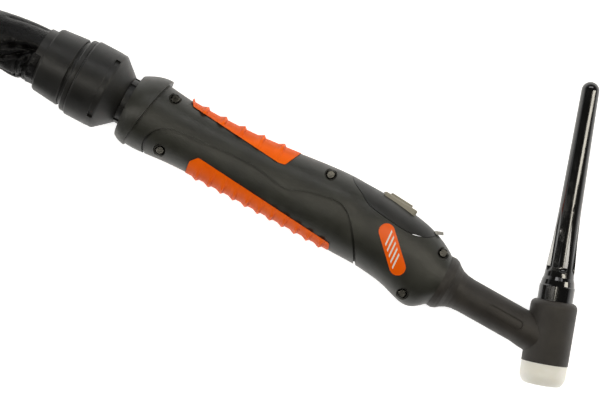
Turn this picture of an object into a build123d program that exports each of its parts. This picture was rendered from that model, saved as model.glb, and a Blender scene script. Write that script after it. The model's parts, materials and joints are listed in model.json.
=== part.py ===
from build123d import *
import os
from math import copysign, cos, degrees, pi, radians, sin, tan

# TIG torch lying on its side. Sizes in millimetres.
# Handle frame: x along the handle from its rear rim, y towards the back cap's side, z up, axis at z = 0.
# saved() moves every piece from there to the torch's own frame: origin under the middle of its box.

os.makedirs("parts", exist_ok=True)

KNUCKLE_R = 19.75                 # largest radius, which the torch rests on
TO_ROW = Location((-99.35, -42.3, KNUCKLE_R))

# Handle stations: x, top y, bottom y, half width in z, squareness of the superellipse
BODY = [
    (4, 16.3, -18.0, 16.6, 2.2),
    (14.6, 16.2, -18.7, 16.6, 2.2),
    (24.4, 15.1, -17.8, 16.1, 2.2),
    (40, 14.4, -17.15, 15.6, 2.25),
    (60, 14.9, -17.2, 15.6, 2.3),
    (80, 16.6, -17.45, 16.5, 2.3),
    (98, 18.55, -17.65, 17.4, 2.3),
    (115, 19.5, -17.95, 18.0, 2.3),
    (130, 19.15, -18.2, 17.6, 2.3),
    (143, 17.75, -19.35, 16.8, 2.3),
    (152, 16.4, -21.3, 15.8, 2.25),
    (160, 14.4, -23.8, 15.0, 2.2),
    (165.5, 12.2, -23.8, 14.4, 2.15),
    (170, 9.8, -21.2, 13.9, 2.1),
    (174, 6.9, -18.0, 13.2, 2.0),
]
COLLAR = [
    (0, 14.9, -17.2, 16.0, 2.0),
    (2.4, 16.2, -18.6, 17.4, 2.0),
    (7.3, 18.2, -19.7, 18.8, 2.0),
    (16, 18.5, -19.7, 18.9, 2.0),
]
COLLAR_EDGE_TOP, COLLAR_EDGE_BOTTOM = 13.4, 5.8     # the collar's front edge leans back towards the bottom
WALL = 2.4
HOLLOW_REAR, HOLLOW_FRONT = 16.0, 164.0
OVAL_POINTS = 12

# Ball joint
PIVOT_X = 9.0
BALL_R, BALL_BACK, BALL_FRONT = 14.0, -7.4, 5.5
LINER_IN, LINER_OUT, SEAT_R = 14.05, 15.05, 15.1
LINER_BACK, LINER_FRONT = -5.5, 5.5
MOUTH_R, MOUTH_DEPTH = 14.6, 2.9
BUNDLE_R = 9.4                    # bore through the ball for the hose and the wires

# Knuckle: closed (along, radius) outlines, and the teeth of the housing's neck
KNUCKLE_PROFILE = [
    (-29.9, 13.0), (-29.9, 18.6), (-29.4, 19.0), (-27.7, 19.0), (-27.5, 18.8), (-27.1, 18.8), (-26.9, 19.4),
    (-26.3, KNUCKLE_R), (-14.9, KNUCKLE_R), (-14.6, 19.6), (-12.3, 19.6), (-11.5, 19.2), (-3.6, 12.3),
    (-3.4, 11.3), (1.5, 11.3), (1.5, BUNDLE_R), (-12.0, BUNDLE_R), (-18.0, 13.0),
]
RING_PROFILE = [
    (-50.2, 13.2), (-50.2, 14.2), (-46.2, 14.4), (-45.9, 16.2), (-45.2, 16.6), (-32.4, 17.85), (-31.9, 17.5),
    (-31.9, 16.6), (-30.2, 16.6), (-30.2, 12.6), (-44.5, 12.6), (-44.5, 13.2),
]
TEETH = 8

# Screws: x, y, height of the head's seat
SCREWS = [(19.0, 12.0, 8.4), (23.9, -13.6, 7.6), (102.2, 14.9, 8.4), (168.0, 6.9, 6.9), (159.6, -19.7, 6.0)]
RECESS_R, BOSS_R, HEAD_R, HEAD_H, SHANK_R = 3.05, 3.7, 2.35, 1.5, 1.45
SHANK_DOWN = -8.0

# Grip pads
PAD_PROUD, PAD_DEEP, PAD_GAP, PAD_CORNER = 0.3, 1.1, 0.12, 1.5
UPPER_PAD = [(26.3, 24), (26.3, 15.5), (28.2, 12.8), (77.3, 8.0), (80.6, 8.7), (85.4, 19.0), (85.4, 24)]
UPPER_RIDGES = [26.3, 34.6, 44.4, 54.6, 64.9, 75.6]
LOWER_PAD = [(39.3, -26), (39.3, -11.4), (42.4, -7.9), (117.0, -14.8), (118.0, -17.2), (116.6, -26)]
LOWER_RIDGES = [45.4 + 6.8 * i for i in range(11)]
UPPER_LIFT, LOWER_LIFT = 1.3, 1.15
RIB_BACK, RIB_FRONT = 2.8, 1.3

# Accent groove on each side
GROOVE_W, GROOVE_DEEP = 1.1, 1.2
GROOVE = [
    (17.6, -20.0), (16.9, -8.4), (19.9, -4.9), (36.6, -1.0), (56.1, 0.6), (75.6, -0.2), (87.0, -1.4),
    (95.1, 1.5), (104.9, 3.8), (113.5, 4.2), (118.6, 0.9), (125.4, -6.8), (130.2, -14.0), (134.0, -20.0),
]

# Switch carrier and trigger
SEAM = [
    (112.0, 21.5), (112.2, 19.5), (119.5, 14.1), (124.4, 11.0), (129.3, 9.8), (139.0, 8.5),
    (148.8, 8.0), (154.6, 9.0), (158.5, 10.7), (161.6, 13.6), (163.0, 16.0),
]
SEAM_GAP = 0.3
LABEL_T = 0.25
KEY_X, KEY_Y, KEY_TILT = 138.6, 18.2, -4.6
BEZEL_L, BEZEL_W, BEZEL_TOP, BEZEL_LOW = 18.5, 13.6, 1.55, -2.6
KEY_L, KEY_W, KEY_TOP, KEY_LOW, KEY_GAP = 12.0, 8.0, 2.65, -3.75, 0.1
KEY_TRAVEL = 1.2
SWITCH_TOP, SWITCH_H = -8.0, 6.4
PLUNGER_TOP = SWITCH_TOP + 2.0
POST_S, SPRING_S = 2.6, -3.2

# Torch body: neck axis and head axis
HEAD_X, HEAD_Y = 234.1, -7.2
NECK_LEAN = -1.47
SPIGOT_R = 9.55
HEAD_LEAN = 18.4
NECK_R, HEAD_R_OUT, HEAD_TOP, HEAD_LOW = 8.75, 11.45, 20.3, -10.4
CORE_R, CAP_BORE_R, COLLET_BORE_R = 8.0, 6.0, 4.35
TUBE_R, TUBE_IN = 4.0, 2.6
# Closed outlines below are (along, radius). The neck's starts inside the handle and ends on the head's axis.
NECK_PROFILE = [
    (-76, 0), (-76, 9.5), (-61.0, 9.5), (-61.0, 13.4), (-58.5, 13.5), (-56.6, 12.8), (-54.8, 11.3),
    (-52.4, 9.9), (-49.5, 9.05), (-45.5, NECK_R), (-17, NECK_R), (-12, 9.3), (0, 9.9), (0, 0),
]
NECK_OVAL_X, NECK_OVAL_L, NECK_OVAL_W, NECK_OVAL_DEEP = -25.5, 19.8, 4.9, 0.7
INSULATOR_R, INSULATOR_L = 11.3, 10.7
CAP_L = 108.3                     # above the head
CAP_PROFILE = [
    (0, 8.75), (7.0, 8.75), (7.6, 8.4), (10.0, 8.0), (11.6, 7.4), (14.5, 7.12), (19.5, 6.78), (29, 6.1),
    (39, 5.66), (44, 5.49), (58, 5.24), (78, 4.83), (103.9, 4.4),
]
FLUTES, FLUTE_R, FLUTE_BOTTOM, FLUTE_START = 6, 3.3, 5.45, 16.5
STEM_R, STEM_LOW = 5.95, 7.8
THREAD_LOW, THREAD_PITCH, THREAD_TURNS = 9.0, 1.25, 4
ORING_T = 17.4
ELECTRODE_R = 2.1

# Hose, wires and cord
FERRULE_BACK = -117.0
HOSE_R, WIRE_R, WIRE_OFF = 5.5, 1.7, 7.45
SLEEVE_D = 28.0
CABLE_D = 15.5
COIL_X, COIL_Y = -244.0, -188.0
COIL_IN, COIL_OUT, COIL_H = 62.0, 120.5, 31.0
TIE_ANGLES = [40, 145, 230]
TIE_W, TIE_T = 20.0, 1.5


def saved(name, *solids):
    """Write the piece, moved to the torch's own frame."""
    shapes = [s for piece in solids for s in piece.solids()]
    moved = [TO_ROW * s for s in shapes]
    export_step(moved[0] if len(moved) == 1 else Compound(children=moved), f"parts/{name}.step")


def oval(station, grow=0.0, lift=0.0):
    """Superellipse across the handle at a station, grown all round and lifted in y."""
    x, top, bottom, half, square = station
    middle = (top + bottom) / 2 + lift
    tall, wide = (top - bottom) / 2 + grow, half + grow
    points = []
    for i in range(OVAL_POINTS):
        c, s = cos(2 * pi * i / OVAL_POINTS), sin(2 * pi * i / OVAL_POINTS)
        across = tall * copysign(abs(c) ** (2 / square), c)
        up = wide * copysign(abs(s) ** (2 / square), s)
        points.append((x, middle + across, up))
    return make_face(Spline(points, periodic=True))


def station_at(x):
    """Handle station at any x, between two listed ones."""
    for a, b in zip(BODY, BODY[1:]):
        if a[0] <= x <= b[0]:
            k = (x - a[0]) / (b[0] - a[0])
            return tuple(p + k * (q - p) for p, q in zip(a, b))
    return BODY[-1]


def lofted(stations, grow=0.0):
    return loft([oval(s, grow) for s in stations])


def prism(outline, tall=60):
    """Closed outline in x and y, carried through the handle in z."""
    return extrude(Plane.XY.offset(-tall / 2) * make_face(outline), tall)


def turned(profile, where):
    """Revolve a closed (along, radius) profile about the x axis of a location."""
    face = make_face(Polyline([(a, r) for a, r in profile], close=True))
    return where * revolve(face, Axis.X, 360)


def along_x(x):
    return Location((x, 0, 0))


def rod(radius, start, end):
    """Round rod between two points."""
    line = Line(start, end)
    return extrude(Plane(start, z_dir=line % 0) * Circle(radius), line.length)


# ---------------------------------------------------------------- handle

def outer_solid():
    """The handle's outside, filled."""
    collar = lofted(COLLAR)
    front = Polyline(
        (-5, 40), (COLLAR_EDGE_TOP + 1.6, 40), (COLLAR_EDGE_TOP, 18.5), (COLLAR_EDGE_BOTTOM, -19.7),
        (COLLAR_EDGE_BOTTOM - 1.6, -40), (-5, -40), close=True,
    )
    return (collar & prism(front, 80)) + BODY_SOLID


def hollow_solid():
    """Room inside the handle."""
    inside = [station_at(HOLLOW_REAR)] + [s for s in BODY if HOLLOW_REAR < s[0] < HOLLOW_FRONT]
    inside.append(station_at(HOLLOW_FRONT))
    return lofted(inside, -WALL)


BODY_SOLID = lofted(BODY)
HOLLOW = hollow_solid()
PAD_CORE = lofted(BODY, -PAD_DEEP)


def pad_prism(points, gap=0.0):
    """Pad outline with rounded inner corners, carried through the handle in z."""
    outline = Sketch() + make_face(Polyline(points, close=True))
    outline = fillet([v for v in outline.vertices() if abs(v.Y) < 15], PAD_CORNER)
    return extrude(Plane.XY.offset(-30) * (offset(outline, gap) if gap else outline), 60)


def ribbed_solid(ridges, lift):
    """Handle grown to the pad's face, with a sharp rib at each ridge that fades out down the flanks."""
    first, last = ridges[0] - 8, ridges[-1] + 12
    sections = [oval(station_at(first), PAD_PROUD)]
    for x in ridges:
        sections.append(oval(station_at(x - RIB_BACK), PAD_PROUD))
        sections.append(oval(station_at(x), PAD_PROUD, lift))
        sections.append(oval(station_at(x + RIB_FRONT), PAD_PROUD))
    sections.append(oval(station_at(last), PAD_PROUD))
    return loft(sections, ruled=True)


def grip_pad(points, ridges, lift):
    """Rubber saddle between the shells, ribbed across its outside."""
    return (ribbed_solid(ridges, lift) - PAD_CORE) & pad_prism(points)


def pad_pocket(points):
    return pad_prism(points, PAD_GAP) - PAD_CORE


def groove_solid():
    """Thin cutter that follows the accent line on both sides."""
    line = Spline(GROOVE)
    strip = trace(line, GROOVE_W)
    return extrude(Plane.XY.offset(-30) * strip, 60) - lofted(BODY, -GROOVE_DEEP)


def seam_prism(shrink=0.0):
    """Everything above the carrier's seam line."""
    curve = Spline([(x, y + shrink) for x, y in SEAM])
    closing = Polyline(curve @ 1, (164, 40), (110, 40), curve @ 0)
    return prism(curve + closing)


def boss_solids(outer):
    """Pillars for the screws, right through the handle."""
    return [Location((x, y, 0)) * Cylinder(BOSS_R, 60) & outer for x, y, _ in SCREWS]


def recess_cutter(x, y, seat):
    """Counterbore and shank hole of a screw."""
    bore = Location((x, y, seat)) * Cylinder(RECESS_R, 30, align=(Align.CENTER, Align.CENTER, Align.MIN))
    hole = Location((x, y, SHANK_DOWN)) * Cylinder(
        SHANK_R, seat - SHANK_DOWN, align=(Align.CENTER, Align.CENTER, Align.MIN)
    )
    return bore + hole


def handle_shells():
    """Near shell, far shell, and the raw front cover that fits between them."""
    outer = outer_solid()
    body = outer - HOLLOW
    for boss in boss_solids(outer):
        body = body + boss
    body = body - along_x(PIVOT_X) * Sphere(SEAT_R)
    body = body - rod(MOUTH_R, (-1, 0, 0), (MOUTH_DEPTH, 0, 0))
    body = body - groove_solid()
    body = body - pad_pocket(UPPER_PAD) - pad_pocket(LOWER_PAD)
    for x, y, seat in SCREWS:
        body = body - recess_cutter(x, y, seat)
    body = body - neck_frame() * (rod(SPIGOT_R, (-90, 0, 0), (-61, 0, 0)) + rod(30, (-61, 0, 0), (-50, 0, 0)))
    shell = body - seam_prism(-SEAM_GAP) - carrier_clip()
    near = shell & Location((90, 0, 50)) * Box(240, 120, 100)
    far = shell & Location((90, 0, -50)) * Box(240, 120, 100)
    carrier = (outer - HOLLOW) & seam_prism()
    return near, far, carrier


def handle_screw(x, y, seat):
    """Pan head with a cross recess, and its plain shank."""
    head = Location((x, y, seat + HEAD_H / 2)) * Cylinder(HEAD_R, HEAD_H)
    head = fillet(head.edges().sort_by(Axis.Z)[-1], 0.7)
    for turn in (20, 110):
        head = head - Location((x, y, seat + HEAD_H), (0, 0, turn)) * Box(2.7, 0.65, 1.6)
    shank = Location((x, y, (seat + SHANK_DOWN) / 2 + 0.25)) * Cylinder(SHANK_R, seat - SHANK_DOWN - 0.5)
    return head + shank


def label_solid():
    """Thin stadium plate on the near side."""
    where = Location((144.85, -3.15, 0), (0, 0, -45))
    stadium = extrude(where * SlotOverall(18.0 + 7.8, 7.8), 30)
    return (stadium & lofted(BODY, LABEL_T)) - BODY_SOLID


# ---------------------------------------------------------------- switch

def key_frame():
    """x along the key, y down through z, z out of the handle."""
    tilt = radians(KEY_TILT)
    return Plane((KEY_X, KEY_Y, 0), x_dir=(cos(tilt), sin(tilt), 0), z_dir=(-sin(tilt), cos(tilt), 0))


def block(length, width, low, high, corner=0.0):
    """Upright block in the key's frame, with rounded corners."""
    shape = RectangleRounded(length, width, corner) if corner else Rectangle(length, width)
    return key_frame() * extrude(Plane.XY.offset(low) * shape, high - low)


def switch_carrier(carrier):
    """Front cover of the handle with the cradle for the switch under it."""
    carrier = carrier - block(BEZEL_L, BEZEL_W, -8, 10, corner=1.6)
    cradle = block(26, 10.4, -16.2, -1.0) - block(20.6, 8.0, SWITCH_TOP - SWITCH_H, 4)
    cradle = (cradle & HOLLOW) - block(BEZEL_L + 1.0, BEZEL_W + 1, -7.2, 4)
    return carrier + cradle - carrier_clip()


def carrier_clip():
    """Small glossy catch that locks the carrier's front tip to the shells."""
    hook = Polyline(
        (156.6, 10.9), (160.2, 12.9), (164.4, 14.6), (163.6, 16.0), (160.4, 14.9), (156.0, 12.4), close=True
    )
    return prism(hook, 9.0)


def switch_bezel():
    """Grey frame round the key."""
    frame = block(BEZEL_L, BEZEL_W, BEZEL_LOW, BEZEL_TOP, corner=1.6)
    frame = chamfer(frame.faces().sort_by(Axis.Y)[-1].edges(), 0.5)
    return frame - block(KEY_L + 2 * KEY_GAP, KEY_W + 2 * KEY_GAP, -9, 9, corner=1.3)


def trigger_button():
    """Grey key with a flange that keeps it in, and a post that presses the switch."""
    key = block(KEY_L, KEY_W, KEY_LOW, KEY_TOP, corner=1.2)
    key = fillet(key.faces().sort_by(Axis.Y)[-1].edges(), 0.5)
    flange = block(KEY_L + 1.8, KEY_W + 1.6, KEY_LOW, KEY_LOW + 1.0, corner=1.5)
    post_low = PLUNGER_TOP + 0.05
    post = key_frame() * Location((POST_S, 0, (KEY_LOW + post_low) / 2)) * Cylinder(1.3, KEY_LOW - post_low)
    return key + flange + post



def trigger_spring():
    """Light return spring between the switch and the key."""
    low, high = SWITCH_TOP, KEY_LOW
    wire = 0.25
    path = Helix(pitch=(high - low - 2 * wire) / 5, height=high - low - 2 * wire, radius=1.8)
    coil = sweep(Plane(path @ 0, z_dir=path % 0) * Circle(wire), path)
    return key_frame() * Location((SPRING_S, 0, low + wire)) * coil


def microswitch_body():
    """Switch case with a pit for its plunger."""
    case = block(12.8, 6.2, SWITCH_TOP - SWITCH_H, SWITCH_TOP)
    pit = key_frame() * Location((POST_S, 0, SWITCH_TOP - 1.5)) * Cylinder(1.35, 3.2)
    return case - pit


def microswitch_plunger():
    low, high = SWITCH_TOP - 1.3, PLUNGER_TOP
    return key_frame() * Location((POST_S, 0, (low + high) / 2)) * Cylinder(1.25, high - low)


# ---------------------------------------------------------------- torch body

def neck_frame():
    """x along the neck with the head axis at x = 0."""
    return Location((HEAD_X, HEAD_Y, 0), (0, 0, NECK_LEAN))


def head_frame():
    """x along the head axis, towards the back cap."""
    return Location((HEAD_X, HEAD_Y, 0), (0, 0, 90 + HEAD_LEAN))


def body_insulation():
    """Moulded rubber over the neck and the head, with a shallow oval sunk in its near side."""
    neck = turned(NECK_PROFILE, neck_frame())
    head = head_frame() * rod(HEAD_R_OUT, (HEAD_LOW, 0, 0), (HEAD_TOP, 0, 0))
    top = head.edges().filter_by(GeomType.CIRCLE).sort_by(Axis.Y)[-1]
    head = fillet(top, 3.0)
    whole = neck + head
    mark = Location((NECK_OVAL_X, 0, NECK_R)) * extrude(SlotOverall(NECK_OVAL_L, NECK_OVAL_W), 4, both=True)
    whole = whole - neck_frame() * (mark - rod(NECK_R - NECK_OVAL_DEEP, (-76, 0, 0), (0, 0, 0)))
    whole = whole - head_frame() * rod(CORE_R, (HEAD_LOW - 1, 0, 0), (HEAD_TOP + 1, 0, 0))
    return whole - neck_frame() * rod(TUBE_R, (-91, 0, 0), (0, 0, 0))


def head_core():
    """Brass core with the collet body's thread in front and the cap's bore behind."""
    core = rod(CORE_R, (HEAD_LOW, 0, 0), (HEAD_TOP, 0, 0))
    core = core - rod(CAP_BORE_R, (STEM_LOW - 8.0, 0, 0), (HEAD_TOP + 1, 0, 0))
    core = core - rod(COLLET_BORE_R, (HEAD_LOW - 1, 0, 0), (HEAD_TOP, 0, 0))
    core = head_frame() * core
    gas = neck_frame() * rod(TUBE_R, (-12, 0, 0), (-5.6, 0, 0))
    return core - gas


def neck_tube():
    """Copper tube that carries the current and the gas."""
    tube = rod(TUBE_R, (-96, 0, 0), (-5.6, 0, 0)) - rod(TUBE_IN, (-97, 0, 0), (-5, 0, 0))
    return neck_frame() * tube - head_frame() * rod(CAP_BORE_R + 0.2, (-20, 0, 0), (30, 0, 0))


def tail_fitting():
    """Brass hexagon that the hose's ferrule screws into."""
    body = extrude(Plane.YZ.offset(-103) * RegularPolygon(6.1, 6, major_radius=False, rotation=30), 11)
    body = body - rod(TUBE_R, (-96, 0, 0), (-90, 0, 0)) - rod(TUBE_IN, (-104, 0, 0), (-90, 0, 0))
    return neck_frame() * body


def front_insulator():
    """Front insulator, with a rounded lower corner."""
    low = HEAD_LOW - INSULATOR_L
    side_end = (HEAD_LOW - 5.2, INSULATOR_R)
    corner = Spline([side_end, (low + 1.7, 10.3), (low, 8.3)], tangents=[(-1, 0), (-0.25, -1)])
    sides = Polyline(
        (low, 8.3), (low, 6.4), (low + 1.2, 5.2), (HEAD_LOW, 5.2), (HEAD_LOW, INSULATOR_R), side_end
    )
    return head_frame() * revolve(make_face(corner + sides), Axis.X, 360)


def back_cap():
    """Long hollow cap: base ring, flutes and a round tip, on a stem with grooves for its thread."""
    side = [(HEAD_TOP + a, r) for a, r in CAP_PROFILE]
    tip_r = side[-1][1]
    middle = (side[-1][0] + tip_r * sin(pi / 4), tip_r * cos(pi / 4))
    tip = ThreePointArc(side[-1], middle, (side[-1][0] + tip_r, 0))
    lines = Polyline((HEAD_TOP, 0), *side) + tip + Line((side[-1][0] + tip_r, 0), (HEAD_TOP, 0))
    cap = revolve(make_face(lines), Axis.X, 360)
    for i in range(FLUTES):
        turn = Location((0, 0, 0), (60 * i + 30, 0, 0))
        reach = FLUTE_BOTTOM + FLUTE_R
        flute = rod(FLUTE_R, (HEAD_TOP + FLUTE_START, reach, 0), (HEAD_TOP + 70, reach, 0))
        flute = flute + Location((HEAD_TOP + FLUTE_START, reach, 0)) * Sphere(FLUTE_R)
        cap = cap - turn * flute
    stem = rod(STEM_R, (STEM_LOW, 0, 0), (HEAD_TOP, 0, 0))
    groove = rod(STEM_R + 1, (ORING_T - 0.8, 0, 0), (ORING_T + 0.8, 0, 0))
    stem = stem - (groove - rod(4.5, (0, 0, 0), (30, 0, 0)))
    thread_core = rod(STEM_R - 0.5, (0, 0, 0), (30, 0, 0))
    for i in range(THREAD_TURNS):
        low = THREAD_LOW + THREAD_PITCH * i
        stem = stem - (rod(STEM_R + 1, (low, 0, 0), (low + 0.6, 0, 0)) - thread_core)
    cap = cap + stem - rod(ELECTRODE_R, (0, 0, 0), (HEAD_TOP + CAP_L - 6, 0, 0))
    return head_frame() * cap


def cap_oring():
    ring = Plane.YZ.offset(ORING_T) * Torus(5.25, 0.7)
    return head_frame() * ring


# ---------------------------------------------------------------- knuckle

def knuckle_housing():
    """Cup with a cone nose, snap windows and a toothed neck."""
    cup = turned(KNUCKLE_PROFILE, along_x(0))
    for angle in (45, 135, 225, 315):
        window = Location((-13.4, 0, 0), (angle, 0, 0)) * Location((0, 0, KNUCKLE_R)) * Box(2.6, 4.4, 2.4)
        cup = cup - window
    collar = rod(12.0, (-3.4, 0, 0), (-0.4, 0, 0)) - rod(11.3, (-4, 0, 0), (2, 0, 0))
    for i in range(TEETH):
        slot = Location((-1.9, 0, 0), (360 * i / TEETH + 10, 0, 0)) * Location((0, 0, 12)) * Box(3.2, 4.2, 1.8)
        collar = collar - slot
    return cup + collar


def knuckle_ball():
    """Hollow ball, flared in front for the hose and the wires."""
    ball = Sphere(BALL_R) & rod(20, (BALL_BACK, 0, 0), (BALL_FRONT, 0, 0))
    flare = Plane.YZ * Cone(BUNDLE_R, 12.0, 5.6, align=(Align.CENTER, Align.CENTER, Align.MIN))
    ball = ball - flare - rod(BUNDLE_R, (-20, 0, 0), (1, 0, 0))
    return along_x(PIVOT_X) * ball


def ball_seat_liner():
    ring = Sphere(LINER_OUT) - Sphere(LINER_IN)
    return along_x(PIVOT_X) * (ring & rod(20, (LINER_BACK, 0, 0), (LINER_FRONT, 0, 0)))


def knuckle_ring():
    """Rear ring that clamps the sleeve to the housing."""
    return turned(RING_PROFILE, along_x(0))


# ---------------------------------------------------------------- hose and wires

def hose_front():
    """Hose inside the handle, from just past the pivot to its ferrule."""
    lean = radians(NECK_LEAN)
    reach = FERRULE_BACK - 0.3
    end = (HEAD_X + reach * cos(lean), HEAD_Y + reach * sin(lean), 0)
    return rod(HOSE_R, (PIVOT_X + 5.8, 0, 0), end)


def hose_ferrule():
    sleeve = rod(6.3, (FERRULE_BACK, 0, 0), (-103, 0, 0)) - rod(TUBE_IN, (FERRULE_BACK + 3, 0, 0), (-102, 0, 0))
    return neck_frame() * sleeve


def hose_rear():
    """Hose inside the knuckle, with a round nose on the pivot."""
    return rod(HOSE_R, (-50.2, 0, 0), (PIVOT_X, 0, 0)) + along_x(PIVOT_X) * Sphere(HOSE_R)


def wires_rear():
    return rod(WIRE_R, (-50.2, WIRE_OFF, 0), (PIVOT_X + 2, WIRE_OFF, 0))


def wires_front():
    """Switch leads, from the switch back to the knuckle, beside the hose."""
    path = FilletPolyline(
        [(PIVOT_X + 6.5, WIRE_OFF, 0), (40, 7.0, 1), (90, 8.0, 2.0), (112, 7.2, 1.6), (123.4, 5.2, 0)],
        radius=[60, 60, 50],
    )
    return sweep(Plane(path @ 0, z_dir=path % 0) * Circle(WIRE_R), path)


# ---------------------------------------------------------------- cord

def smooth_path(points):
    """Straight runs joined by arcs as large as the runs allow. Prints the radii."""
    runs = [Vector(*b) - Vector(*a) for a, b in zip(points, points[1:])]
    room = [0.47 * run.length for run in runs]
    room[0] *= 1.9
    room[-1] *= 1.9
    radii = []
    for first, second, before, after in zip(runs, runs[1:], room, room[1:]):
        half_turn = radians(first.get_angle(second)) / 2
        radii.append(min(before, after) / tan(half_turn))
    print("radii", [round(r) for r in radii])
    return FilletPolyline(points, radius=radii)


def tube(points, diameter):
    """Round solid along a route. Prints its length, to compare with the real cord's."""
    path = smooth_path(points)
    solid = sweep(Plane(path @ 0, z_dir=path % 0) * Circle(diameter / 2), path)
    print("length", round(path.length), "volume", round(solid.volume))
    return solid


def polar(radius, angle, z):
    """Point about the coil's middle, in the torch's own frame."""
    return (COIL_X + radius * cos(radians(angle)), COIL_Y + radius * sin(radians(angle)), z)


# Routes in the torch's own frame
SLEEVE_ROUTE = [(-149.55, -42.3, 19.75), (-176, -42.3, 19.75), (-213, -50, 15.0)] + [
    polar(141, 98 + 28 * i, SLEEVE_D / 2) for i in range(6)
] + [polar(136.8, 252, SLEEVE_D / 2)]
CABLE_ROUTE = [
    SLEEVE_ROUTE[-1], polar(141, 266, SLEEVE_D / 2), polar(138, 289, 12.5), polar(132, 312, 10),
    polar(122, 336, 9.5), polar(113, 356, 9.5),
]
TAIL_ROUTE = [
    polar(108, 171, 28), polar(105, 196, 35), polar(101, 221, 42), polar(97, 246, 45), polar(95, 269, 45),
]


def coil_section(grow=0.0):
    """Rounded outline of the wound cable's section, standing on the ties, at the coil's right."""
    middle = Location((COIL_X + (COIL_IN + COIL_OUT) / 2, COIL_Y, TIE_T + COIL_H / 2))
    outline = RectangleRounded(COIL_OUT - COIL_IN + 2 * grow, COIL_H + 2 * grow, 6.5 + grow)
    return middle * Rot(90, 0, 0) * outline


def round_coil(section, turn=360):
    return revolve(section, Axis((COIL_X, COIL_Y, 0), (0, 0, 1)), turn)


def cable_coil():
    """Outer shape of the wound cable."""
    return round_coil(coil_section())


def coil_tie(angle):
    """Strap right round the coil's section, following its curve."""
    turn = degrees(TIE_W / ((COIL_IN + COIL_OUT) / 2))
    strap = round_coil(coil_section(TIE_T) - coil_section(0.02), turn)
    middle = Location((COIL_X, COIL_Y, 0))
    return middle * Rot(0, 0, angle - turn / 2) * middle.inverse() * strap


def tail_frame():
    """z along the cable at its far end."""
    path = smooth_path(TAIL_ROUTE)
    return Plane(path @ 1, z_dir=path % 1)


def plug_piece(*steps):
    """Stack of cylinders and cones along the plug: start, end, start radius, end radius."""
    whole = Part()
    for start, end, r0, r1 in steps:
        if r0 == r1:
            piece = Cylinder(r0, end - start, align=(Align.CENTER, Align.CENTER, Align.MIN))
        else:
            piece = Cone(r0, r1, end - start, align=(Align.CENTER, Align.CENTER, Align.MIN))
        whole = whole + Location((0, 0, start)) * piece
    return whole


def plug_boot():
    """Rubber strain relief on the cable's end, with a socket for the plug's body."""
    return plug_piece((0, 38, 8.6, 10.6), (38, 58, 10.8, 10.8)) - plug_piece((52, 58, 9.0, 9.0))


def plug_body():
    """Collar between the boot and the pin."""
    return plug_piece((52, 58, 9.0, 9.0), (58, 70, 10.4, 10.4)) - plug_piece((56, 70, 6.0, 6.0))


def power_pin():
    """Pin with a thinner root in the body, a chamfered end and a bore."""
    pin = plug_piece((56, 70, 6.0, 6.0), (70, 94, 6.5, 6.5)) - plug_piece((60, 94, 2.5, 2.5))
    return chamfer(pin.edges().sort_by(Axis.Z)[-1], 0.8)


def main():
    near, far, carrier = handle_shells()
    saved("handle_shell_near", near)
    saved("handle_shell_far", far)
    saved("switch_carrier", switch_carrier(carrier))
    saved("carrier_clip", carrier_clip())
    saved("grip_pad_upper", grip_pad(UPPER_PAD, UPPER_RIDGES, UPPER_LIFT))
    saved("grip_pad_lower", grip_pad(LOWER_PAD, LOWER_RIDGES, -LOWER_LIFT))
    saved("handle_screws", *[handle_screw(*s) for s in SCREWS])
    saved("label", label_solid())
    saved("switch_bezel", switch_bezel())
    saved("trigger_button", trigger_button())
    saved("trigger_spring", trigger_spring())
    saved("microswitch_body", microswitch_body())
    saved("microswitch_plunger", microswitch_plunger())
    saved("body_insulation", body_insulation())
    saved("head_core", head_core())
    saved("neck_tube", neck_tube())
    saved("tail_fitting", tail_fitting())
    saved("front_insulator", front_insulator())
    saved("back_cap", back_cap())
    saved("cap_oring", cap_oring())
    saved("knuckle_housing", knuckle_housing())
    saved("knuckle_ball", knuckle_ball())
    saved("ball_seat_liner", ball_seat_liner())
    saved("knuckle_ring", knuckle_ring())
    saved("hose_front", hose_front())
    saved("hose_ferrule", hose_ferrule())
    saved("hose_rear", hose_rear())
    saved("wires_rear", wires_rear())
    saved("wires_front", wires_front())
    back = TO_ROW.inverse()
    saved("cable_sleeve", back * tube(SLEEVE_ROUTE, SLEEVE_D))
    saved("cable_tube", back * tube(CABLE_ROUTE, CABLE_D))
    saved("cable_tail", back * tube(TAIL_ROUTE, CABLE_D))
    saved("cable_coil", back * cable_coil())
    for number, angle in enumerate(TIE_ANGLES):
        saved(f"coil_tie_{number + 1}", back * coil_tie(angle))
    far_end = tail_frame()
    saved("plug_boot", back * (far_end * plug_boot()))
    saved("plug_body", back * (far_end * plug_body()))
    saved("power_pin", back * (far_end * power_pin()))


main()
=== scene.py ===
import bpy
import bmesh
import json
from math import cos, degrees, exp, pi, radians, sin
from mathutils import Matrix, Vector, noise


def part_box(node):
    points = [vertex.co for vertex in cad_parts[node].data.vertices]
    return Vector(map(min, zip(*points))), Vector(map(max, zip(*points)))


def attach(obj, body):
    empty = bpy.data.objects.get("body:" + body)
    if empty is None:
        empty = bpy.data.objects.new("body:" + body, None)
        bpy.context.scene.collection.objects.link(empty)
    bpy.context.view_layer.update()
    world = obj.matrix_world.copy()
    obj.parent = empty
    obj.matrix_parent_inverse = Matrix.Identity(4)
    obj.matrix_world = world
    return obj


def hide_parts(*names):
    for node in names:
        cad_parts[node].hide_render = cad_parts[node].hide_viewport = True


# TIG torch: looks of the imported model. Lengths are in metres, in the model's own frame, except where a
# comment says mm.

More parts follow.
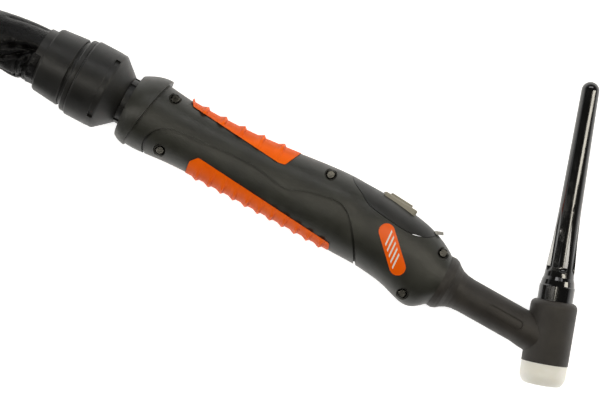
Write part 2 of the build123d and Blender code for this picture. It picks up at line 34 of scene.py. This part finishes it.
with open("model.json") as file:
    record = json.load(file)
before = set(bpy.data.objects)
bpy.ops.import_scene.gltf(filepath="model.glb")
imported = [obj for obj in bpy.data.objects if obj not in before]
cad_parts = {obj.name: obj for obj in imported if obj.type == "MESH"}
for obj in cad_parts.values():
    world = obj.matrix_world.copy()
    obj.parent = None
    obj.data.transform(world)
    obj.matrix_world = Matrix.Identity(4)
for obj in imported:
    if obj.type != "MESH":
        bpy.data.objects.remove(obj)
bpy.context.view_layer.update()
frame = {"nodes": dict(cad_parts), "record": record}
NODES = frame["nodes"]


def mid(node):
    low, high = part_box(node)
    return (low + high) / 2


AXIS_Z = mid("knuckle_housing").z


# ---------------------------------------------------------------- camera, light and floor

VIEW_TURN = radians(28)
VIEW_HEIGHT = 0.80
VIEW_X, VIEW_Y = -0.00451, -0.04524
LENS = 98.4

# Name, place (to the right in the view, up in it, and above the floor), size, power and colour.
LAMPS = [
    ("left_box", (-0.55, 0.10, 0.62), (0.07, 0.9), 2.2, (1.0, 0.96, 0.88)),
    ("right_box", (0.62, 0.05, 0.70), (0.09, 0.9), 2.8, (1.0, 0.94, 0.81)),
    ("back_box", (0.15, 0.75, 0.75), (0.9, 0.25), 2.4, (1.0, 1.0, 1.0)),
    ("head_lamp", (0.04, 0.0, 1.00), (0.07, 0.4), 0.9, (1.0, 0.95, 0.82)),
]
ROOM_WHITE_TO, ROOM_DIM_FROM = 0.04, 0.36          # heights on a sphere of radius 1
ROOM_DIM = 0.03
FLOOR_HALF = 3
FLOOR_GLOW = 0.8


def add_camera():
    """Looks straight down on the torch, turned so that the handle runs down to the right."""
    camera = bpy.data.objects.new("camera", bpy.data.cameras.new("camera"))
    camera.data.lens = LENS
    camera.data.sensor_width = 36
    camera.data.clip_start = 0.01
    camera.location = (VIEW_X, VIEW_Y, AXIS_Z + VIEW_HEIGHT)
    camera.rotation_euler = (0, 0, VIEW_TURN)
    bpy.context.scene.collection.objects.link(camera)
    bpy.context.scene.camera = camera


def across_view(right, up, z):
    """Point at height z, given from the view's middle along the camera's right and up directions."""
    c, s = cos(VIEW_TURN), sin(VIEW_TURN)
    return Vector((VIEW_X + right * c - up * s, VIEW_Y + right * s + up * c, z))


def add_area(name, place, size, power, colour):
    """Soft rectangular lamp that points at the middle of the view."""
    light = bpy.data.lights.new(name, "AREA")
    light.shape = "RECTANGLE"
    light.size, light.size_y = size
    light.energy = power
    light.color = colour
    lamp = bpy.data.objects.new(name, light)
    lamp.location = place
    lamp.rotation_euler = (across_view(0, 0, 0) - place).to_track_quat("-Z", "Y").to_euler()
    bpy.context.scene.collection.objects.link(lamp)


def add_lights():
    """Long soft boxes at the sides and behind, a weak lamp overhead, and a room that is white low down."""
    for name, place, size, power, colour in LAMPS:
        add_area(name, across_view(*place), size, power, colour)
    bpy.context.scene.world = white_room()
    bpy.context.scene.view_settings.view_transform = "Standard"


def white_room():
    """White low down and dim overhead, so that the rims of dark parts shine and their tops stay dark."""
    world = bpy.data.worlds.new("world")
    world.use_nodes = True
    nodes, links = world.node_tree.nodes, world.node_tree.links
    place = nodes.new("ShaderNodeTexCoord")
    split = nodes.new("ShaderNodeSeparateXYZ")
    ramp = nodes.new("ShaderNodeValToRGB")
    ramp.color_ramp.elements[0].position = ROOM_WHITE_TO
    ramp.color_ramp.elements[0].color = (1, 1, 1, 1)
    ramp.color_ramp.elements[1].position = ROOM_DIM_FROM
    ramp.color_ramp.elements[1].color = (ROOM_DIM, ROOM_DIM, ROOM_DIM, 1)
    links.new(place.outputs["Generated"], split.inputs["Vector"])
    links.new(split.outputs["Z"], ramp.inputs["Fac"])
    links.new(ramp.outputs["Color"], nodes["Background"].inputs["Color"])
    return world


def add_floor():
    """White paper under the torch. It glows a little, so that it stays white round the dark torch."""
    bm = bmesh.new()
    bmesh.ops.create_grid(bm, x_segments=1, y_segments=1, size=FLOOR_HALF)
    mesh = bpy.data.meshes.new("floor")
    bm.to_mesh(mesh)
    bm.free()
    floor = bpy.data.objects.new("floor", mesh)
    bpy.context.scene.collection.objects.link(floor)
    paper = Shader("floor", (0.92, 0.92, 0.92), 0.9, specular_ior_level=0.1, emission_strength=FLOOR_GLOW)
    paper.body.inputs["Emission Color"].default_value = (1, 1, 1, 1)
    floor.data.materials.append(paper.material)


# ---------------------------------------------------------------- materials

MIX_INPUTS, MIX_RESULT = (0, 6, 7), 2               # factor, both colours and result of a colour Mix node


class Shader:
    """A Principled material, with short ways to add procedural nodes in the model's own coordinates."""

    def __init__(self, name, colour, rough, **sockets):
        self.material = bpy.data.materials.new(name)
        self.material.use_nodes = True
        self.nodes = self.material.node_tree.nodes
        self.links = self.material.node_tree.links
        self.body = self.nodes["Principled BSDF"]
        self.body.inputs["Base Color"].default_value = (*colour, 1)
        self.body.inputs["Roughness"].default_value = rough
        for socket, value in sockets.items():
            title = socket.replace("_", " ").title().replace("Ior", "IOR")
            self.body.inputs[title].default_value = value
        self.place = self.nodes.new("ShaderNodeTexCoord").outputs["Object"]
        self.normal = None

    def add(self, kind, **values):
        """New node. A value goes to the input of its name, or else to the node's own setting."""
        node = self.nodes.new(kind)
        for key, value in values.items():
            if key in node.inputs:
                node.inputs[key].default_value = value
            else:
                setattr(node, key, value)
        return node

    def link(self, a, b):
        self.links.new(a, b)

    def feed(self, socket, value):
        """Gives a socket a number, a colour or another node's output."""
        if isinstance(value, (int, float)):
            socket.default_value = value
        elif isinstance(value, tuple):
            socket.default_value = (*value, 1)
        else:
            self.link(value, socket)

    def noise(self, scale, detail, rough=0.55):
        node = self.add("ShaderNodeTexNoise", Scale=scale, Detail=detail, Roughness=rough)
        self.link(self.place, node.inputs["Vector"])
        return node.outputs["Fac"]

    def cells(self, scale):
        node = self.add("ShaderNodeTexVoronoi", Scale=scale)
        self.link(self.place, node.inputs["Vector"])
        return node.outputs["Distance"]

    def split(self, vector):
        node = self.add("ShaderNodeSeparateXYZ")
        self.link(vector, node.inputs["Vector"])
        return node.outputs

    def ramp(self, source, low, high, at):
        """Ramp between two colours or greys, with their stops at two places."""
        node = self.add("ShaderNodeValToRGB")
        ends = [c if isinstance(c, tuple) else (c, c, c) for c in (low, high)]
        for stop, place, colour in zip(node.color_ramp.elements, at, ends):
            stop.position = place
            stop.color = (*colour, 1)
        self.link(source, node.inputs["Fac"])
        return node.outputs["Color"]

    def mix(self, factor, a, b):
        node = self.add("ShaderNodeMix", data_type="RGBA")
        for place, value in zip(MIX_INPUTS, (factor, a, b)):
            self.feed(node.inputs[place], value)
        return node.outputs[MIX_RESULT]

    def maths(self, operation, a, b=0.0):
        node = self.add("ShaderNodeMath", operation=operation)
        for socket, value in zip(node.inputs, (a, b)):
            self.feed(socket, value)
        return node.outputs["Value"]

    def times(self, a, b):
        return self.maths("MULTIPLY", a, b)

    def off(self, a, b):
        """How far a lies from b."""
        return self.maths("ABSOLUTE", self.maths("SUBTRACT", a, b))

    def fade(self, value, low, high):
        """1 up to low, 0 from high on, and a smooth step between them."""
        node = self.add("ShaderNodeMapRange", interpolation_type="SMOOTHSTEP")
        self.link(value, node.inputs["Value"])
        for socket, number in zip(("From Min", "From Max", "To Min", "To Max"), (low, high, 1.0, 0.0)):
            node.inputs[socket].default_value = number
        return node.outputs["Result"]

    def bump(self, height, depth, strength):
        """Adds relief on top of any that is there already."""
        node = self.add("ShaderNodeBump", Strength=strength, Distance=depth)
        self.link(height, node.inputs["Height"])
        if self.normal:
            self.link(self.normal, node.inputs["Normal"])
        self.normal = node.outputs["Normal"]
        self.link(self.normal, self.body.inputs["Normal"])

    def colour(self, source):
        self.link(source, self.body.inputs["Base Color"])

    def rough(self, source):
        self.link(source, self.body.inputs["Roughness"])


# Colour, roughness, scale and depth of the grain, and then, where they differ from the usual, how far the
# colour varies and the specular level.
MOULDED = {
    "handle_plastic": ((0.0230, 0.0235, 0.0180), 0.42, 2200, 0.00006),
    "carrier_plastic": ((0.016, 0.016, 0.0145), 0.42, 2200, 0.00004, 0.25, 0.4),
    # a darker copy of the handle plastic for the knuckle: painted shade where the light falls off
    "shaded_knuckle_plastic": ((0.0115, 0.0115, 0.0105), 0.42, 2200, 0.00005, 0.25, 0.38),
    "switch_grey": ((0.30, 0.28, 0.225), 0.48, 4200, 0.00003, 0.05),
    "body_rubber": ((0.0265, 0.0228, 0.0190), 0.52, 3000, 0.00008, 0.25, 0.45),
    "nylon": ((0.55, 0.53, 0.47), 0.5, 3000, 0.00003, 0.06),
    "oring_rubber": ((0.012, 0.012, 0.012), 0.5, 3000, 0.00002),
    "hose_rubber": ((0.018, 0.018, 0.018), 0.55, 2500, 0.00006),
    "wire_pvc": ((0.05, 0.05, 0.05), 0.5, 2500, 0.00003),
    "cable_rubber": ((0.018, 0.018, 0.018), 0.55, 1800, 0.0001),
}

# Colour and roughness.
METALS = {
    "brass": ((0.72, 0.50, 0.20), 0.32),
    "copper": ((0.72, 0.36, 0.22), 0.35),
    "screw_steel": ((0.042, 0.041, 0.038), 0.18),
    "spring_steel": ((0.55, 0.55, 0.55), 0.3),
}

# Place of one rib and the ribs' pitch, and how far above or below mid height they begin to fade and end.
PADS = {
    "upper_pad": (-0.0648, 0.01025, 0.0085, 0.0125),
    "lower_pad": (-0.05395, 0.0068, 0.0085, 0.0130),
}
RIB_TOP, RIB_FOOT = 0.0002, 0.0015                  # half widths
RIB_HEIGHT = 0.0011

LABEL_TURN = radians(-45)
BAR_SLANT = 1.1
BAR_PITCH, BAR_HALF = 0.0029, 0.00055
BARS_HALF_HEIGHT, BARS_HALF_LENGTH = 0.0025, 0.0066

# Nodes whose surface differs from the rest of their slot, and their materials. The knuckle takes a darker copy
# of the handle's plastic, which is painted shade.
OWN_LOOK = {
    "grip_pad_upper": "upper_pad",
    "grip_pad_lower": "lower_pad",
    "knuckle_housing": "shaded_knuckle_plastic",
    "knuckle_ring": "shaded_knuckle_plastic",
}


def moulded(name, colour, rough, grain, depth, mottling=0.25, specular=0.5):
    """Textured moulded plastic or rubber: fine grain, with faint mottling of its colour and sheen."""
    shader = Shader(name, colour, rough, specular_ior_level=specular)
    dark = tuple(c * (1 - mottling) for c in colour)
    light = tuple(c * (1 + mottling) for c in colour)
    shader.colour(shader.ramp(shader.noise(90, 5), dark, light, (0.3, 0.7)))
    shader.rough(shader.ramp(shader.noise(160, 6), rough - 0.06, rough + 0.07, (0.3, 0.7)))
    shader.bump(shader.noise(grain, 3, 0.6), depth, 0.9)
    return shader.material


def metal(name, colour, rough):
    shader = Shader(name, colour, rough, metallic=1.0)
    shader.rough(shader.ramp(shader.noise(300, 5), rough - 0.08, rough + 0.12, (0.3, 0.7)))
    shader.bump(shader.noise(2600, 2), 0.00002, 0.5)
    return shader.material


def gloss_black():
    """Polished black phenolic, a little uneven in its polish."""
    shader = Shader(
        "gloss_black", (0.006, 0.006, 0.006), 0.12,
        specular_ior_level=0.55, coat_weight=0.4, coat_roughness=0.05,
    )
    shader.rough(shader.ramp(shader.noise(140, 5), 0.07, 0.15, (0.4, 0.75)))
    shader.bump(shader.noise(420, 2), 0.00002, 0.1)
    return shader.material


def insulator_white():
    """Off-white plastic that lets a little light in."""
    shader = Shader("ptfe", (0.84, 0.82, 0.74), 0.42, subsurface_weight=0.12, subsurface_scale=0.004)
    shader.body.inputs["Subsurface Radius"].default_value = (1.0, 0.8, 0.6)
    shader.colour(shader.ramp(shader.noise(120, 6), (0.91, 0.895, 0.81), (0.97, 0.96, 0.90), (0.35, 0.65)))
    shader.bump(shader.noise(900, 4), 0.00008, 0.5)
    return shader.material


def grip_rubber(name, first, pitch, start, full):
    """Orange rubber with fine mould grain, and ribs that are full at mid height and fade above and below it,
    with painted shade darkening the hollows between them.
    """
    shader = Shader(name, (0.95, 0.13, 0.0), 0.45, specular_ior_level=0.12)
    orange = shader.ramp(shader.noise(120, 5), (0.92, 0.120, 0.0), (1.0, 0.150, 0.0), (0.3, 0.7))
    place = shader.split(shader.place)
    along = shader.maths("PINGPONG", shader.maths("SUBTRACT", place["X"], first), pitch / 2)
    rib = shader.fade(along, RIB_TOP, RIB_FOOT)
    flank = shader.fade(shader.off(place["Z"], AXIS_Z), start, full)
    # painted shade: the hollows between the ribs, where the rib relief is low, are darkened in the colour
    painted_rib_shade = shader.times(shader.maths("SUBTRACT", 1.0, rib), flank)
    shader.bump(shader.times(rib, flank), RIB_HEIGHT, 0.9)
    # the orange is mixed towards deep brown in the rib hollows: painted shade, not a colour of the rubber
    shader.colour(shader.mix(shader.times(painted_rib_shade, 0.35), orange, (0.42, 0.045, 0.001)))
    shader.rough(shader.ramp(shader.noise(260, 5), 0.40, 0.56, (0.3, 0.7)))
    shader.bump(shader.noise(2600, 3), 0.00005, 0.8)
    return shader.material


def label_film():
    """Orange film with five plain white slanted bars."""
    shader = Shader("label_film", (0.95, 0.12, 0.0), 0.35, specular_ior_level=0.3)
    middle = mid("label")
    turn = shader.add("ShaderNodeMapping", vector_type="TEXTURE")
    turn.inputs["Location"].default_value = (middle.x, middle.y, 0)
    turn.inputs["Rotation"].default_value = (0, 0, LABEL_TURN)
    shader.link(shader.place, turn.inputs["Vector"])
    place = shader.split(turn.outputs["Vector"])
    along, across = place["X"], place["Y"]
    slanted = shader.maths("ADD", along, shader.times(across, BAR_SLANT))
    bar = shader.maths("LESS_THAN", shader.maths("PINGPONG", slanted, BAR_PITCH / 2), BAR_HALF)
    inside = shader.maths("LESS_THAN", shader.maths("ABSOLUTE", across), BARS_HALF_HEIGHT)
    near = shader.maths("LESS_THAN", shader.maths("ABSOLUTE", slanted), BARS_HALF_LENGTH)
    white = shader.times(bar, shader.times(inside, near))
    shader.colour(shader.mix(white, (0.95, 0.125, 0.0), (0.88, 0.84, 0.78)))
    shader.bump(shader.noise(2000, 2), 0.00002, 0.4)
    return shader.material


def leather():
    """Black leather: pebbled grain, fine wrinkles, and an uneven colour and sheen."""
    shader = Shader("sleeve_leather", (0.006, 0.006, 0.006), 0.32, specular_ior_level=0.2)
    dark, worn = (0.0012, 0.0012, 0.0012), (0.0058, 0.0057, 0.0055)
    shader.colour(shader.ramp(shader.noise(70, 6), dark, worn, (0.35, 0.75)))
    shader.rough(shader.ramp(shader.noise(220, 5), 0.26, 0.44, (0.3, 0.7)))
    shader.bump(shader.cells(1300), 0.0002, 0.8)
    shader.bump(shader.noise(240, 6, 0.6), 0.0008, 0.6)
    return shader.material


def webbing():
    shader = Shader("tie_webbing", (0.02, 0.02, 0.02), 0.8, sheen_weight=0.2)
    shader.bump(shader.cells(1100), 0.0003, 0.8)
    return shader.material


def make_materials():
    return {
        "gloss_black": gloss_black(),
        "label_film": label_film(),
        "ptfe": insulator_white(),
        "sleeve_leather": leather(),
        "tie_webbing": webbing(),
        **{name: moulded(name, *look) for name, look in MOULDED.items()},
        **{name: metal(name, *look) for name, look in METALS.items()},
        **{name: grip_rubber(name, *ribs) for name, ribs in PADS.items()},
    }


def dress_nodes(materials):
    """Every CAD node takes its slot's material, or its own."""
    for part in frame["record"]["subparts"]:
        node = NODES[part["node"]]
        material = materials[OWN_LOOK.get(part["node"], part["material_slot"])]
        if node.material_slots:
            for slot in node.material_slots:
                slot.material = material
        else:
            node.data.materials.append(material)


# ---------------------------------------------------------------- cords

COIL_X, COIL_Y = -0.244, -0.188
CABLE_D = 0.0155
SLEEVE_D = 0.028
SLEEVE_Z = SLEEVE_D / 2
STRAP_T = 0.0015
LOW_TURNS = STRAP_T + CABLE_D / 2
HIGH_TURNS = LOW_TURNS + CABLE_D
OUTER_TURN = 0.113                                  # radius of the coil's outermost turn
TURN_STEP = 24                                      # degrees between a turn's points
WIND_START, INMOST, CLIMBED, WIND_END = 356, 1346, 1406, 2320


def polar(radius, angle, z):
    """Point about the coil's middle."""
    return (COIL_X + radius * cos(radians(angle)), COIL_Y + radius * sin(radians(angle)), z)


def coil_turns():
    """Two layers of turns: the lower one winds inwards, and the upper one back outwards on top of it."""
    points = []
    inner = OUTER_TURN - CABLE_D * (INMOST - WIND_START) / 360
    for angle in range(WIND_START, WIND_END, TURN_STEP):
        if angle <= INMOST:
            radius = OUTER_TURN - CABLE_D * (angle - WIND_START) / 360
            z = LOW_TURNS
        elif angle < CLIMBED:
            radius = inner
            z = LOW_TURNS + CABLE_D * (angle - INMOST) / (CLIMBED - INMOST)
        else:
            radius = inner + CABLE_D * (angle - CLIMBED) / 360
            z = HIGH_TURNS
        points.append(polar(radius, angle, z))
    return points


SLEEVE_ROUTE = [
    (-0.1380, -0.0423, 0.01975), (-0.166, -0.0410, 0.0195), (-0.206, -0.0552, 0.0145),
    (-0.263, -0.0505, SLEEVE_Z),
    *[polar(0.141, 126 + 28 * i, SLEEVE_Z) for i in range(5)],
    polar(0.1368, 252, SLEEVE_Z),
]
CABLE_ROUTE = [
    SLEEVE_ROUTE[-1], polar(0.141, 266, SLEEVE_Z), polar(0.138, 289, 0.0125), polar(0.132, 312, 0.0100),
    polar(0.122, 336, 0.0095),
    *coil_turns(),
    polar(0.108, 171, 0.028), polar(0.105, 196, 0.035), polar(0.101, 221, 0.042),
    polar(0.097, 246, 0.045), polar(0.095, 269, 0.045),
]


def nurbs(name, points, resolution, radius=0.0):
    """Open NURBS line with those points as its control points."""
    curve = bpy.data.curves.new(name, "CURVE")
    curve.dimensions = "3D"
    spline = curve.splines.new("NURBS")
    spline.points.add(len(points) - 1)
    for knot, point in zip(spline.points, points):
        knot.co = (*point, 1)
    spline.order_u = 3
    spline.use_endpoint_u = True
    spline.resolution_u = resolution
    curve.bevel_depth = radius
    curve.bevel_resolution = 6
    line = bpy.data.objects.new(name, curve)
    bpy.context.scene.collection.objects.link(line)
    return line


def centreline(points):
    """Points along the smooth line through a route, read from its NURBS spline."""
    line = nurbs("centreline", points, 16)
    mesh = bpy.data.meshes.new_from_object(line)
    places = [v.co.copy() for v in mesh.vertices]
    bpy.data.objects.remove(line)
    return places


def run_length(places):
    return sum((b - a).length for a, b in zip(places, places[1:]))


def at_length(places, wanted):
    """Point and direction at a distance along a line of points."""
    gone = 0.0
    for a, b in zip(places, places[1:]):
        step = (b - a).length
        if gone + step >= wanted:
            return a.lerp(b, (wanted - gone) / step), (b - a).normalized()
        gone += step
    return places[-1], (places[-1] - places[-2]).normalized()


# Creases of the sleeve near the ring: start and end as (mm along, degrees round), depth and half width in mm.
# 90 degrees is the top and 0 is the cap's side. A negative depth is a ridge.
CREASES = [
    ((3, 85), (9, 89), 3.6, 1.1), ((9, 89), (16, 99), 3.6, 1.2), ((16, 99), (23, 118), 3.4, 1.3),
    ((23, 118), (34, 128), 3.0, 1.6), ((11, 92), (19, 108), -1.5, 1.3), ((19, 108), (27, 128), -1.6, 1.6),
    ((6, 92), (11, 112), 2.6, 1.2), ((11, 112), (19, 132), 3.0, 1.3), ((19, 132), (27, 142), 2.4, 1.5),
    ((5, 96), (7, 130), 1.6, 0.9), ((7, 130), (7.5, 160), 1.8, 1.0), ((7.5, 160), (7.5, 190), 0.8, 1.0),
    ((11, 128), (10.5, 165), 1.6, 0.9), ((9, 112), (9, 150), -1.1, 0.9), ((15, 124), (24, 150), -1.4, 2.0),
    ((13, 165), (24, 172), 1.2, 1.5), ((7.5, 190), (7, 250), 0.8, 1.2), ((34, 128), (60, 110), 2.4, 2.2),
    ((27, 142), (60, 160), 2.0, 2.4), ((60, 70), (82, 110), 1.6, 2.4), ((12, 64), (30, 70), 0.35, 2.2),
    ((5, 20), (22, 34), 0.8, 1.7),
]
CREASE_REACH = 4                                    # in half widths
SLEEVE_R = 13.4                                     # mm
MM_PER_DEGREE = radians(1) * SLEEVE_R
HIDDEN, HIDDEN_R = 0.008, 0.0124                    # the sleeve's start, gathered inside the ring
LIP_COVER, LIP_END = 14.65, 0.0042                  # the leather over the ring's lip: radius in mm, length
LIP_FROM, LIP_TO = 92, 262                          # degrees round
LIP_WAVE, LIP_WAVES = 0.35, 13                      # height in mm and number of the lip's waves
LOOSE_FROM, LOOSE_OVER = 0.035, 0.04                # the folds loosen from the first length on, over the second
FOLD, LOOSE_FOLD = 0.45, 0.6                        # height in mm at the ring, and its gain where loose
PINCH, LOOSE_PINCH = 0.12, 0.3
SHARP_SHARE, SHARP_DEPTH = 0.14, 2.2                # noise level under which a sharp crease lies, its mm
TWIST = 9                                           # radians a metre that the folds wind round the sleeve
LOBE_TURN, LOBE_SPREAD = radians(172), radians(34)
LOBE_AT, LOBE_LENGTH, LOBE_HEIGHT = 0.012, 0.009, 1.9          # the height in mm
EASE_SHARE, EASE_LENGTH = 0.3, 0.005                # share of the relief at the ring; it gains 1 in this length
FLOOR_GAP = 0.0003

FINE_STEP, FINE_RINGS = 0.0008, 150                 # rings of the mesh near the ring
COARSE_STEP = 0.003
SLEEVE_AROUND, BAND_AROUND = 120, 48
BAND_END, BAND_GAP = 0.004, 0.0002
BAND_PROFILE = [                                    # back from the band's end, and out from the leather
    (0.018, 0.0), (0.018, 0.0008), (0.012, 0.0021), (0.0, 0.0024), (-0.010, 0.0021), (-0.010, -0.003),
]


def crease_depth(s, turn):
    """Depth in mm of the creases at s mm along and turn degrees round."""
    total = 0.0
    for (s0, t0), (s1, t1), depth, width in CREASES:
        reach = CREASE_REACH * width
        if not min(s0, s1) - reach < s < max(s0, s1) + reach:
            continue
        along = Vector((s1 - s0, (t1 - t0) * MM_PER_DEGREE))
        away = Vector((s - s0, (turn - t0) * MM_PER_DEGREE))
        share = min(1.0, max(0.0, away.dot(along) / along.length_squared))
        far = (away - along * share).length / width
        if far < CREASE_REACH:
            total += depth / (1 + 0.9 * far ** 2) ** 2
    return total


def ripple(around, s, across, along, shift=0, start=0):
    """Smooth noise over the sleeve. Across and along set how fast it varies round it and down it."""
    return noise.noise(Vector((around.x * across + shift, around.y * across, s * along + start)))


def leather_radius(s, turn):
    """Radius of the sleeve at s along it and turn radians round it. The relief is worked out in mm."""
    s -= HIDDEN
    if s < 0:
        return HIDDEN_R
    around = Vector((cos(turn + TWIST * s), sin(turn + TWIST * s), 0))
    folds = ripple(around, s, 1.2, 18)
    pinches = ripple(around, s, 3.1, 60, start=5)
    sharp = abs(ripple(around, s, 1.5, 26, shift=3))
    loose = min(1.0, max(0.0, (s - LOOSE_FROM) / LOOSE_OVER))
    rise = (FOLD + LOOSE_FOLD * loose) * folds + (PINCH + LOOSE_PINCH * loose) * pinches
    rise -= loose * SHARP_DEPTH * max(0.0, SHARP_SHARE - sharp) / SHARP_SHARE
    lobe = exp(-((turn - LOBE_TURN) / LOBE_SPREAD) ** 2) * exp(-((s - LOBE_AT) / LOBE_LENGTH) ** 2)
    rise += LOBE_HEIGHT * lobe
    easing = min(1.0, EASE_SHARE + s / EASE_LENGTH)
    radius = SLEEVE_R + easing * (rise - crease_depth(1000 * s, turn * 180 / pi))
    if s < LIP_END and LIP_FROM < degrees(turn) < LIP_TO:
        radius = max(radius, LIP_COVER + LIP_WAVE * sin(LIP_WAVES * turn) * s / LIP_END)
    return radius / 1000


class LaidTube:
    """Places on a tube's skin, by length along its line and turn round it."""

    def __init__(self, places):
        self.places = places
        self.total = run_length(places)

    def at(self, s, turn, radius):
        place, way = at_length(self.places, s)
        side = Vector((way.y, -way.x, 0)).normalized()
        up = side.cross(way).normalized()
        point = place + (side * cos(turn) + up * sin(turn)) * radius
        point.z = max(point.z, FLOOR_GAP)
        return point


def turns_round(count):
    """Angles of that many points round a ring."""
    return [2 * pi * i / count for i in range(count)]


def skin(name, rings, material):
    """Smooth open tube of faces through rings of points."""
    bm = bmesh.new()
    loops = [[bm.verts.new(point) for point in ring] for ring in rings]
    for a, b in zip(loops, loops[1:]):
        for i in range(len(a)):
            j = (i + 1) % len(a)
            bm.faces.new((a[i], b[i], b[j], a[j]))
    mesh = bpy.data.meshes.new(name)
    bm.to_mesh(mesh)
    bm.free()
    for face in mesh.polygons:
        face.use_smooth = True
    mesh.materials.append(material)
    piece = bpy.data.objects.new(name, mesh)
    bpy.context.scene.collection.objects.link(piece)
    return piece


def leather_rings(tube):
    """Rings of points on the sleeve, closer together near the ring."""
    fine = [FINE_STEP * i for i in range(FINE_RINGS)]
    rest = int((tube.total - fine[-1]) / COARSE_STEP)
    coarse = [fine[-1] + COARSE_STEP * (i + 1) for i in range(rest)]
    turns = turns_round(SLEEVE_AROUND)
    return [[tube.at(s, turn, leather_radius(s, turn)) for turn in turns] for s in fine + coarse]


def make_end_band(tube, material):
    """Strap that gathers the sleeve's far end onto the cable."""
    rings = []
    for back, lift in BAND_PROFILE:
        s = tube.total - BAND_END - back
        radius = SLEEVE_R / 1000 + BAND_GAP + lift
        rings.append([tube.at(s, turn, radius) for turn in turns_round(BAND_AROUND)])
    band = skin("sleeve_end_band", rings, material)
    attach(band, "knuckle")
    return band


def make_sleeve(materials):
    """Leather sleeve: a soft tube with creases and folds, round the hose and the leads."""
    tube = LaidTube(centreline(SLEEVE_ROUTE))
    sleeve = skin("leather_sleeve", leather_rings(tube), materials["sleeve_leather"])
    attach(sleeve, "knuckle")
    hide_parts("cable_sleeve")
    band = make_end_band(tube, materials["tie_webbing"])


def make_cable(materials):
    """Power and gas cable, from the sleeve's end round its coil to the plug."""
    cable = nurbs("cable", CABLE_ROUTE, 8, CABLE_D / 2)
    cable.data.materials.append(materials["cable_rubber"])
    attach(cable, "knuckle")
    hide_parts("cable_tube", "cable_coil", "cable_tail")
    run_length(centreline(CABLE_ROUTE))


def main():
    add_camera()
    materials = make_materials()
    add_floor()
    add_lights()
    dress_nodes(materials)
    make_sleeve(materials)
    make_cable(materials)


main()
